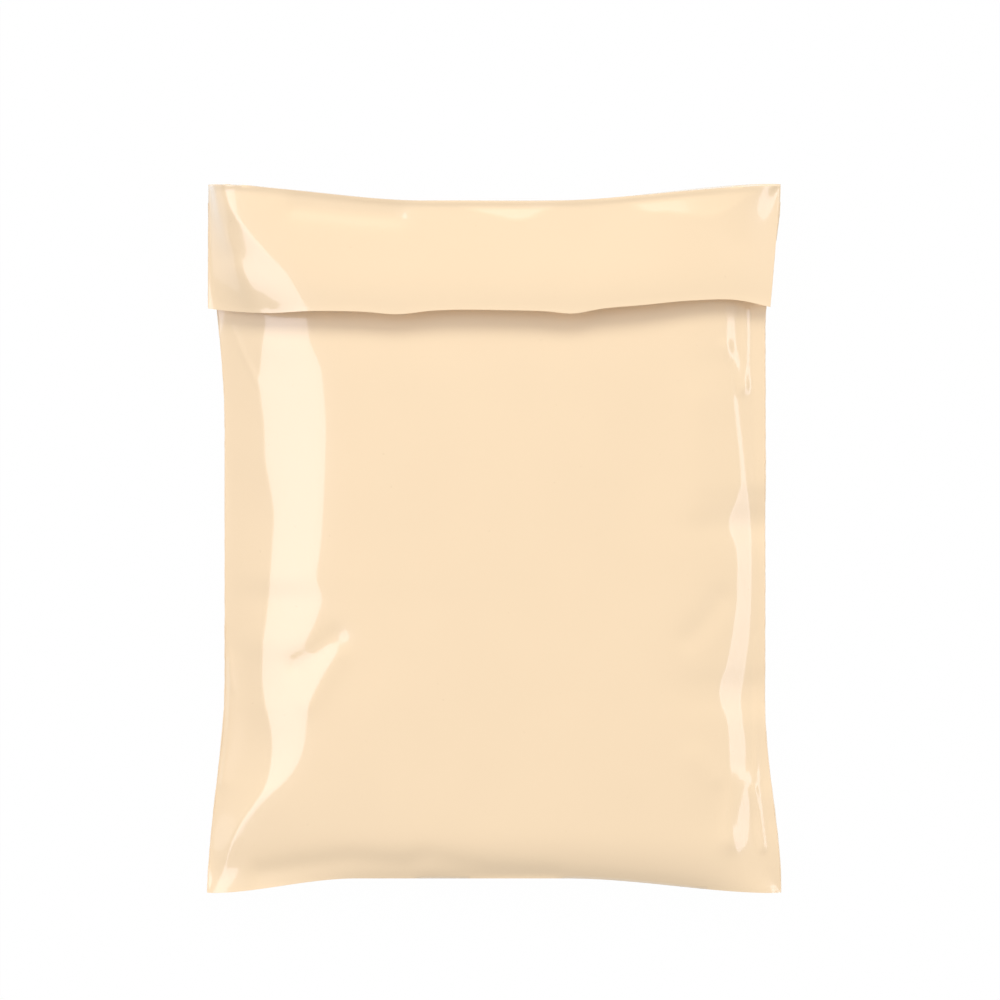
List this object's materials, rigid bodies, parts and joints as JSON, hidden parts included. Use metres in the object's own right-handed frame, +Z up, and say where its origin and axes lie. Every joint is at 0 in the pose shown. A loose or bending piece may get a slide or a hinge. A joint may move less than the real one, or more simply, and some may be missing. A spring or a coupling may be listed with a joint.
{
  "type": "poly mailer",
  "caption": "Filled and sealed plastic mailing bag lying on its back, its wide flap folded down over the front.",
  "frame": {"origin": "on the surface that the bag lies on, under the middle of its box", "axes": "+X across the bag to its right side, +Y from the bottom edge to the top fold, +Z up out of the flap side"},
  "size_m": [0.254, 0.314, 0.0336],
  "materials": {
    "film": "gloss"
  },
  "bodies": {
    "root": {"mailer": "film"}
  },
  "joints": []
}
